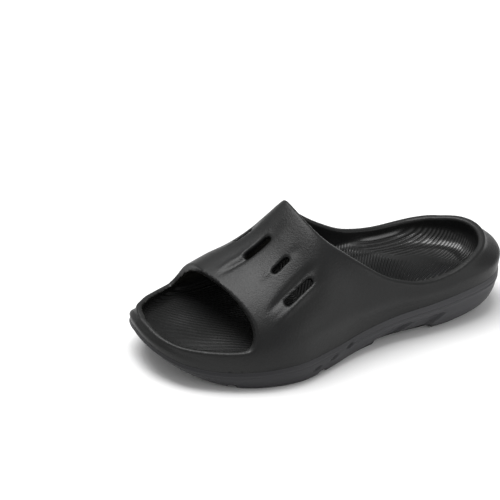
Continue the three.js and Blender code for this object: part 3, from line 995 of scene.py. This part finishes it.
def scoop_depth(points, row):
    """Depth of one scoop at each point of the wall."""
    along, height, length, rise, depth, turned, side = row
    edge = PLAN["lateral" if side > 0 else "medial"]
    run = (edge(along + 0.02) - edge(along - 0.02)) * BALL_WIDTH
    heading = math.atan2(run, 0.04 * LENGTH)
    lean = math.radians(turned)
    level = np.array([math.cos(heading), math.sin(heading), 0])
    first = level * math.cos(lean) - np.array([0, 0, math.sin(lean)])
    second = level * math.sin(lean) + np.array([0, 0, math.cos(lean)])
    away = points - np.array([place_of(along), edge(along) * BALL_WIDTH, height * HEEL_HEIGHT])
    a = away @ first / (length * LENGTH / 2)
    b = away @ second / (rise * HEEL_HEIGHT / 2)
    form = leaf if length > LEAF_LENGTH else notch
    return SCOOP_FULL * depth * SCOOP * form(a, b) * (np.sign(points[:, 1]) == side)


def make_sole():
    c = Columns(SOLE_COLUMNS)
    seam = c.seam + PLAY
    inward = c.way / np.linalg.norm(c.way, axis=1)[:, None]
    deck = c.spine(DECK_LINE, lambda along: HEEL_HEIGHT * TREAD["deck"](along) - PLAY)
    rings = [deck, c.socket(LEDGE + STEP - PLAY, PLAY), c.inset(LEDGE - PLAY + c.under, seam)]
    rings.append(c.inset(c.under + SEAM_LIP, seam))
    for down in np.linspace(0, 1, WALL_RINGS):
        ring = c.inset(side_in(c.under, c.tuck, down), 0)
        foot = lift(ring[:, 0]) + break_height(c.along) * over(down, *BREAK_FOOT)
        ring[:, 2] = mix(seam, foot, down)
        swell = bead(seam - ring[:, 2], c.along)
        dent = sum(scoop_depth(ring, row) for row in SCOOPS) * ease((SCOOP_FOOT - down) / SCOOP_FADE)
        ring[:, :2] += inward * (dent - swell)[:, None]
        rings.append(ring)
    for share in TREAD_RINGS:
        tread = c.inset(c.tuck + share * BALL_WIDTH, 0)
        tread[:, 2] = lift(tread[:, 0]) + break_height(along_of(tread[:, 0]))
        rings.append(tread)
    rings.append(c.spine(DECK_LINE, lambda along: lift(place_of(along)) + break_height(along)))
    return loft("sole_skin", rings)


# Materials


class Value:
    """A socket in a material's tree, for sums written as plain expressions."""

    def __init__(self, tree, socket):
        self.tree = tree
        self.socket = socket

    def math(self, operation, *others):
        return self.tree.node("ShaderNodeMath", {"operation": operation}, [self, *others])

    def __add__(self, other):
        return self.math("ADD", other)

    __radd__ = __add__

    def __mul__(self, other):
        return self.math("MULTIPLY", other)

    __rmul__ = __mul__

    def __sub__(self, other):
        return self.math("SUBTRACT", other)

    def __rsub__(self, other):
        return self * -1 + other

    def clamp(self):
        return self.math("MAXIMUM", 0.0).math("MINIMUM", 1.0)


class Finish:
    """A material with its Principled shader, whose constants are set on its own sockets."""

    def __init__(self, name, **constants):
        self.material = bpy.data.materials.new(name)
        self.material.use_nodes = True
        self.nodes = self.material.node_tree.nodes
        self.links = self.material.node_tree.links
        self.shader = self.nodes["Principled BSDF"]
        for socket, value in constants.items():
            self.shader.inputs[socket.replace("_", " ")].default_value = value

    def node(self, kind, settings, values, output=0):
        made = self.nodes.new(kind)
        for key, value in settings.items():
            setattr(made, key, value)
        pairs = values.items() if isinstance(values, dict) else enumerate(values)
        for key, value in pairs:
            if isinstance(value, Value):
                self.links.new(value.socket, made.inputs[key])
            else:
                made.inputs[key].default_value = value
        return Value(self, made.outputs[output])

    def place(self):
        return self.node("ShaderNodeTexCoord", {}, {}, "Object")

    def across(self, place, axis):
        return self.node("ShaderNodeSeparateXYZ", {}, {"Vector": place}, axis)

    def noise(self, place, scale, detail):
        return self.node("ShaderNodeTexNoise", {}, {"Vector": place, "Scale": scale, "Detail": detail})

    def attribute(self, name):
        return self.node("ShaderNodeAttribute", {"attribute_name": name}, {}, "Fac")

    def colour(self, mask, first, second):
        """Mixes two colours; 0, 6 and 7 are the colour mix's inputs, and 2 is its result."""
        values = {0: mask, 6: (*first, 1), 7: (*second, 1)}
        return self.node("ShaderNodeMix", {"data_type": "RGBA"}, values, 2)

    def bump(self, height, strength, distance, under=None):
        values = {"Height": height, "Strength": strength, "Distance": distance}
        if under is not None:
            values["Normal"] = under
        return self.node("ShaderNodeBump", {}, values)

    def feed(self, socket, value):
        self.links.new(value.socket, self.shader.inputs[socket])


# Foam colours: the upper from dark to pale, the pale end reached by the clouding and by painted light
# under the strap; the sole at heel and forefoot
UPPER_DARK = (0.0050, 0.0053, 0.0060)
UPPER_PALE = (0.0230, 0.0230, 0.0190)
SOLE_HEEL = (0.042, 0.042, 0.045)
SOLE_FORE = (0.022, 0.022, 0.024)

# Sizes of the clouding, pores and grain, as the scales of their noise
UPPER_CLOUD = 22
UPPER_PORES = 500
UPPER_GRAIN = 1100
SOLE_CLOUD = 18
SOLE_GRAIN = 1300

# Depths of the relief that is left to bump, in metres
RIB_RELIEF = 0.0009
PORE_RELIEF = 0.0004
GRAIN_RELIEF = 0.0003
SOLE_RELIEF = 0.0002

# Facets that meet at more than this many degrees keep a sharp edge
SHARP = 62


def upper_finish():
    f = Finish("upper_foam", IOR=1.45, Specular_IOR_Level=0.32, Coat_Roughness=0.22)
    at = f.place()
    cloud = f.noise(at, UPPER_CLOUD, 3)
    grain = f.noise(at, UPPER_GRAIN, 2)
    pores = f.noise(at, UPPER_PORES, 3)
    cup = f.attribute("cup")
    wave = (f.attribute("rib_count") * math.tau).math("SINE")
    crest = wave * 0.5 + 0.5
    skin = 1 - f.attribute("inside") * 0.8
    # The colour mix takes the clouding, the foam's own tone, plus the painted light under the strap.
    tone_and_painted_lift = (cloud * 0.3 + f.attribute("painted_lift")).clamp()
    f.feed("Base Color", f.colour(tone_and_painted_lift, UPPER_DARK, UPPER_PALE))
    f.feed("Roughness", 0.40 + (cloud - 0.5) * 0.12 + (grain - 0.5) * 0.22 - cup * 0.10)
    f.feed("Coat Weight", (cup * (crest * crest * 1.5 + 0.1)).clamp())
    ribs = f.bump(wave * f.attribute("rib_depth") * 0.5, 1.0, RIB_RELIEF)
    soft = f.bump(pores * skin, 0.3, PORE_RELIEF, ribs)
    f.feed("Normal", f.bump(grain * skin, 0.6, GRAIN_RELIEF, soft))
    return f.material


def sole_finish():
    f = Finish("sole_foam", IOR=1.45, Specular_IOR_Level=0.3)
    at = f.place()
    cloud = f.noise(at, SOLE_CLOUD, 3)
    grain = f.noise(at, SOLE_GRAIN, 2)
    fore = (f.across(at, "X") * 9 + (cloud - 0.5) * 0.3 + 0.4).clamp()
    f.feed("Base Color", f.colour(fore, SOLE_HEEL, SOLE_FORE))
    f.feed("Roughness", 0.52 + (cloud - 0.5) * 0.1 + (grain - 0.5) * 0.1)
    f.feed("Normal", f.bump(grain, 0.35, SOLE_RELIEF))
    return f.material


def dress(made, material, node):
    made.data.materials.clear()
    made.data.materials.append(material)
    made.data.set_sharp_from_angle(angle=math.radians(SHARP))
    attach(made, "root")
    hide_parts(node)


dress(make_upper(), upper_finish(), "upper")
dress(make_sole(), sole_finish(), "sole")


# Floor, light and camera

FLOOR = (0.86, 0.86, 0.86, 1)
LIGHT_AIM = (0, 0, 0.04)
WORLD_LIGHT = 0.5
CAMERA_AT = (0.5830, 0.9785, 0.7628)
CAMERA_TO = (0.0017, -0.1175, 0.0)
CAMERA_ROLL = 2.91
CAMERA_LENS = 127.97


def floor():
    bm = bmesh.new()
    bmesh.ops.create_grid(bm, x_segments=1, y_segments=1, size=6)
    made = piece("floor", bm)
    f = Finish("floor_paper", Roughness=0.9)
    f.shader.inputs["Base Color"].default_value = FLOOR
    made.data.materials.append(f.material)


def aimed(location, target):
    """Turn that faces a lamp or camera to a target."""
    return (Vector(target) - Vector(location)).to_track_quat("-Z", "Y").to_matrix().to_4x4()


def softbox(name, location, size, power):
    light = bpy.data.lights.new(name, "AREA")
    light.shape = "RECTANGLE"
    light.size, light.size_y = size
    light.energy = power
    made = bpy.data.objects.new(name, light)
    made.matrix_world = Matrix.Translation(location) @ aimed(location, LIGHT_AIM)
    bpy.context.scene.collection.objects.link(made)


def camera():
    data = bpy.data.cameras.new("camera")
    data.lens = CAMERA_LENS
    data.clip_start = 0.05
    made = bpy.data.objects.new("camera", data)
    rolled = Matrix.Rotation(math.radians(CAMERA_ROLL), 4, "Z")
    made.matrix_world = Matrix.Translation(CAMERA_AT) @ aimed(CAMERA_AT, CAMERA_TO) @ rolled
    bpy.context.scene.collection.objects.link(made)
    bpy.context.scene.camera = made


def world():
    made = bpy.data.worlds.new("studio")
    made.use_nodes = True
    background = made.node_tree.nodes["Background"]
    background.inputs["Color"].default_value = (1, 1, 1, 1)
    background.inputs["Strength"].default_value = WORLD_LIGHT
    bpy.context.scene.world = made
    bpy.context.scene.view_settings.view_transform = "Standard"


floor()
world()
softbox("key", (0.20, -0.35, 1.50), (0.9, 1.4), 30)
softbox("fill", (-0.9, 1.3, 0.5), (1.0, 0.7), 4.5)
camera()
